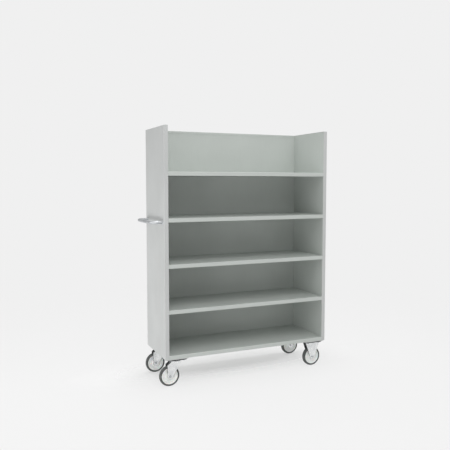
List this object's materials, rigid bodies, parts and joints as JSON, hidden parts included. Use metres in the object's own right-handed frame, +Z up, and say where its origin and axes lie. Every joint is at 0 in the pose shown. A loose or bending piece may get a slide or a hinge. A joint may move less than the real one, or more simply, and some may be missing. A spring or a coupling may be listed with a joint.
{
  "type": "book cart",
  "caption": "Mobile steel book cart with lipped open shelves between box-section end panels, a bow handle on one end, and swivel and fixed casters.",
  "frame": {"origin": "on the floor, under the middle of the whole cart's box (handle included)", "axes": "+X along the shelves away from the handle, -Y out of the open front, +Z up"},
  "size_m": [1.187, 0.372, 1.55],
  "materials": {
    "panel_paint": "satin light grey powder coat on folded sheet steel",
    "shelf_paint": "satin light grey powder coat on folded sheet steel",
    "inner_paint": "satin light grey powder coat on folded sheet steel",
    "handle_tube": "satin zinc plate on drawn steel tube",
    "pressed_zinc": "bright zinc plate on pressed steel",
    "zinc_fixings": "bright zinc plate",
    "plain_steel": "turned steel",
    "ball_steel": "polished ball steel",
    "bearing_steel": "ground steel ring with pressed shield",
    "rim_plastic": "moulded off-white polypropylene",
    "tyre_rubber": "solid grey rubber"
  },
  "bodies": {
    "cart": {"left_panel_skin": "panel_paint", "right_panel_skin": "panel_paint", "left_panel_liner": "inner_paint", "right_panel_liner": "inner_paint", "back_panel": "inner_paint", "left_caster_channel": "panel_paint", "right_caster_channel": "panel_paint", "back_rivets": "panel_paint", "bottom_shelf": "shelf_paint", "bottom_stiffener": "inner_paint", "second_shelf": "shelf_paint", "second_stiffener": "inner_paint", "third_shelf": "shelf_paint", "third_stiffener": "inner_paint", "fourth_shelf": "shelf_paint", "fourth_stiffener": "inner_paint", "top_shelf": "shelf_paint", "top_stiffener": "inner_paint", "shelf_screws": "zinc_fixings", "push_handle": "handle_tube", "handle_rosettes": "handle_tube", "handle_backing_plates": "plain_steel", "handle_screws": "zinc_fixings", "caster_bolts": "zinc_fixings", "caster_nuts": "zinc_fixings", "front_left_top_plate": "pressed_zinc", "front_left_race_balls": "ball_steel", "front_left_king_pin": "plain_steel", "rear_left_top_plate": "pressed_zinc", "rear_left_race_balls": "ball_steel", "rear_left_king_pin": "plain_steel", "front_right_bracket": "pressed_zinc", "front_right_axle_bolt": "zinc_fixings", "front_right_axle_nut": "zinc_fixings", "front_right_axle_sleeve": "plain_steel", "rear_right_bracket": "pressed_zinc", "rear_right_axle_bolt": "zinc_fixings", "rear_right_axle_nut": "zinc_fixings", "rear_right_axle_sleeve": "plain_steel"},
    "front_left_swivel": {"front_left_fork": "pressed_zinc", "front_left_axle_bolt": "zinc_fixings", "front_left_axle_nut": "zinc_fixings", "front_left_axle_sleeve": "plain_steel"},
    "front_left_wheel": {"front_left_rim": "rim_plastic", "front_left_tyre": "tyre_rubber", "front_left_bearings": "bearing_steel"},
    "rear_left_swivel": {"rear_left_fork": "pressed_zinc", "rear_left_axle_bolt": "zinc_fixings", "rear_left_axle_nut": "zinc_fixings", "rear_left_axle_sleeve": "plain_steel"},
    "rear_left_wheel": {"rear_left_rim": "rim_plastic", "rear_left_tyre": "tyre_rubber", "rear_left_bearings": "bearing_steel"},
    "front_right_wheel": {"front_right_rim": "rim_plastic", "front_right_tyre": "tyre_rubber", "front_right_bearings": "bearing_steel"},
    "rear_right_wheel": {"rear_right_rim": "rim_plastic", "rear_right_tyre": "tyre_rubber", "rear_right_bearings": "bearing_steel"}
  },
  "joints": [
    {"name": "front_left_swivel_turn", "type": "hinge", "parent": "cart", "child": "front_left_swivel", "pos_m": [-0.4395, -0.143, 0.154], "axis": [0, 0, 1], "continuous": true},
    {"name": "front_left_wheel_spin", "type": "hinge", "parent": "front_left_swivel", "child": "front_left_wheel", "pos_m": [-0.4815, -0.143, 0.0625], "axis": [0, 1, 0], "continuous": true},
    {"name": "rear_left_swivel_turn", "type": "hinge", "parent": "cart", "child": "rear_left_swivel", "pos_m": [-0.4395, 0.143, 0.154], "axis": [0, 0, 1], "continuous": true},
    {"name": "rear_left_wheel_spin", "type": "hinge", "parent": "rear_left_swivel", "child": "rear_left_wheel", "pos_m": [-0.4815, 0.143, 0.0625], "axis": [0, 1, 0], "continuous": true},
    {"name": "front_right_wheel_spin", "type": "hinge", "parent": "cart", "child": "front_right_wheel", "pos_m": [0.5145, -0.143, 0.0625], "axis": [0, 1, 0], "continuous": true},
    {"name": "rear_right_wheel_spin", "type": "hinge", "parent": "cart", "child": "rear_right_wheel", "pos_m": [0.5145, 0.143, 0.0625], "axis": [0, 1, 0], "continuous": true}
  ]
}
